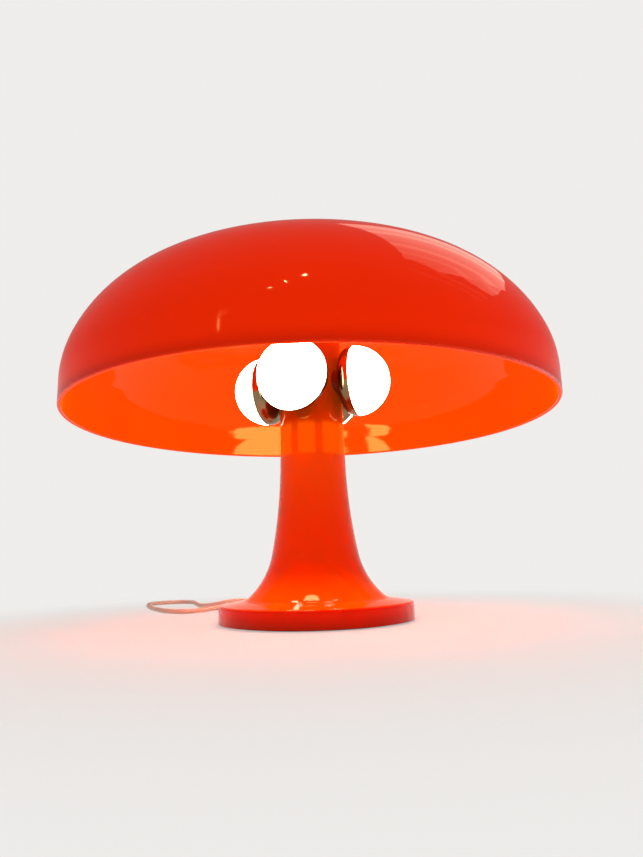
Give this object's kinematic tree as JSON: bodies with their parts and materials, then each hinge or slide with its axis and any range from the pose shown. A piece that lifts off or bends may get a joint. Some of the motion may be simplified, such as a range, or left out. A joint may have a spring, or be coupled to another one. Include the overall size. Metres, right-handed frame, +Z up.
{
  "type": "mushroom table lamp",
  "caption": "Glossy orange table lamp: a domed shade on a trumpet-shaped stem and round base, with globe lamps plugged in round the stem under the dome.",
  "frame": {"origin": "centre of the base on the table surface", "axes": "+Z up, front towards -Y, +X to the right as seen from the front; the axis of the stem and shade is Z"},
  "size_m": [0.32, 0.3779, 0.2419],
  "materials": {
    "orange_shade": "glossy translucent moulding",
    "orange_stem": "glossy translucent moulding",
    "opal_glass": "opal, lit",
    "mirror_coat": "vacuum metallised",
    "ceramic": "glazed ceramic",
    "board": "satin",
    "zinc_steel": "zinc plated",
    "pin_brass": "satin",
    "ballast_iron": "as cast, painted",
    "foot_rubber": "matt",
    "cap_plastic": "glossy moulding",
    "cord_pvc": "smooth sheath",
    "lead_sleeve": "braided sleeve",
    "cream_plastic": "smooth moulding",
    "tie_strap": "woven strap"
  },
  "bodies": {
    "base": {"trumpet_moulding": "orange_stem", "column_cap": "cap_plastic", "clamping_tube": "zinc_steel", "top_washer": "zinc_steel", "bottom_washer": "zinc_steel", "top_nut": "zinc_steel", "bottom_nut": "zinc_steel", "block_nuts": "zinc_steel", "foot_ring": "foot_rubber", "base_plate": "zinc_steel", "ballast": "ballast_iron", "cord_gland": "cream_plastic", "cord_clamp": "cream_plastic", "clamp_screws": "zinc_steel", "holder_block": "zinc_steel", "terminal_block": "ceramic", "holder_screws": "zinc_steel", "lampholder_leads": "lead_sleeve", "inner_lead": "cord_pvc", "switch_lower_shell": "cream_plastic", "switch_upper_shell": "cream_plastic", "switch_boots": "cream_plastic", "switch_screws": "zinc_steel", "plug_body": "cream_plastic", "plug_pins": "pin_brass", "cord_to_switch": "cord_pvc", "cord_to_coil": "cord_pvc", "cord_to_plug": "cord_pvc", "cord_coil": "cord_pvc", "cord_tie": "tie_strap", "lampholder_1": "ceramic", "lampholder_2": "ceramic", "lampholder_3": "ceramic", "lampholder_4": "ceramic"},
    "shade": {"shade": "orange_shade"},
    "switch_rocker": {"switch_rocker": "cream_plastic"},
    "lamp_1": {"lamp_dome_1": "opal_glass", "lamp_mirror_1": "mirror_coat", "lamp_base_1": "ceramic", "lamp_board_1": "board", "lamp_pins_1": "pin_brass"},
    "lamp_2": {"lamp_dome_2": "opal_glass", "lamp_mirror_2": "mirror_coat", "lamp_base_2": "ceramic", "lamp_board_2": "board", "lamp_pins_2": "pin_brass"},
    "lamp_3": {"lamp_dome_3": "opal_glass", "lamp_mirror_3": "mirror_coat", "lamp_base_3": "ceramic", "lamp_board_3": "board", "lamp_pins_3": "pin_brass"},
    "lamp_4": {"lamp_dome_4": "opal_glass", "lamp_mirror_4": "mirror_coat", "lamp_base_4": "ceramic", "lamp_board_4": "board", "lamp_pins_4": "pin_brass"}
  },
  "joints": [
    {"name": "shade_lift", "type": "slide", "parent": "base", "child": "shade", "axis": [0, 0, 1], "range_m": [0, 0.13]},
    {"name": "switch_rocker_tilt", "type": "hinge", "parent": "base", "child": "switch_rocker", "pos_m": [-0.015, 0.105, 0.011], "axis": [0, 1, 0], "range_deg": [-16, 0]},
    {"name": "lamp_1_pull", "type": "slide", "parent": "base", "child": "lamp_1", "axis": [-0.3535, -0.9354, 0], "range_m": [0, 0.018]},
    {"name": "lamp_2_pull", "type": "slide", "parent": "base", "child": "lamp_2", "axis": [0.9354, -0.3535, 0], "range_m": [0, 0.018]},
    {"name": "lamp_3_pull", "type": "slide", "parent": "base", "child": "lamp_3", "axis": [0.3535, 0.9354, 0], "range_m": [0, 0.018]},
    {"name": "lamp_4_pull", "type": "slide", "parent": "base", "child": "lamp_4", "axis": [-0.9354, 0.3535, 0], "range_m": [0, 0.018]}
  ]
}
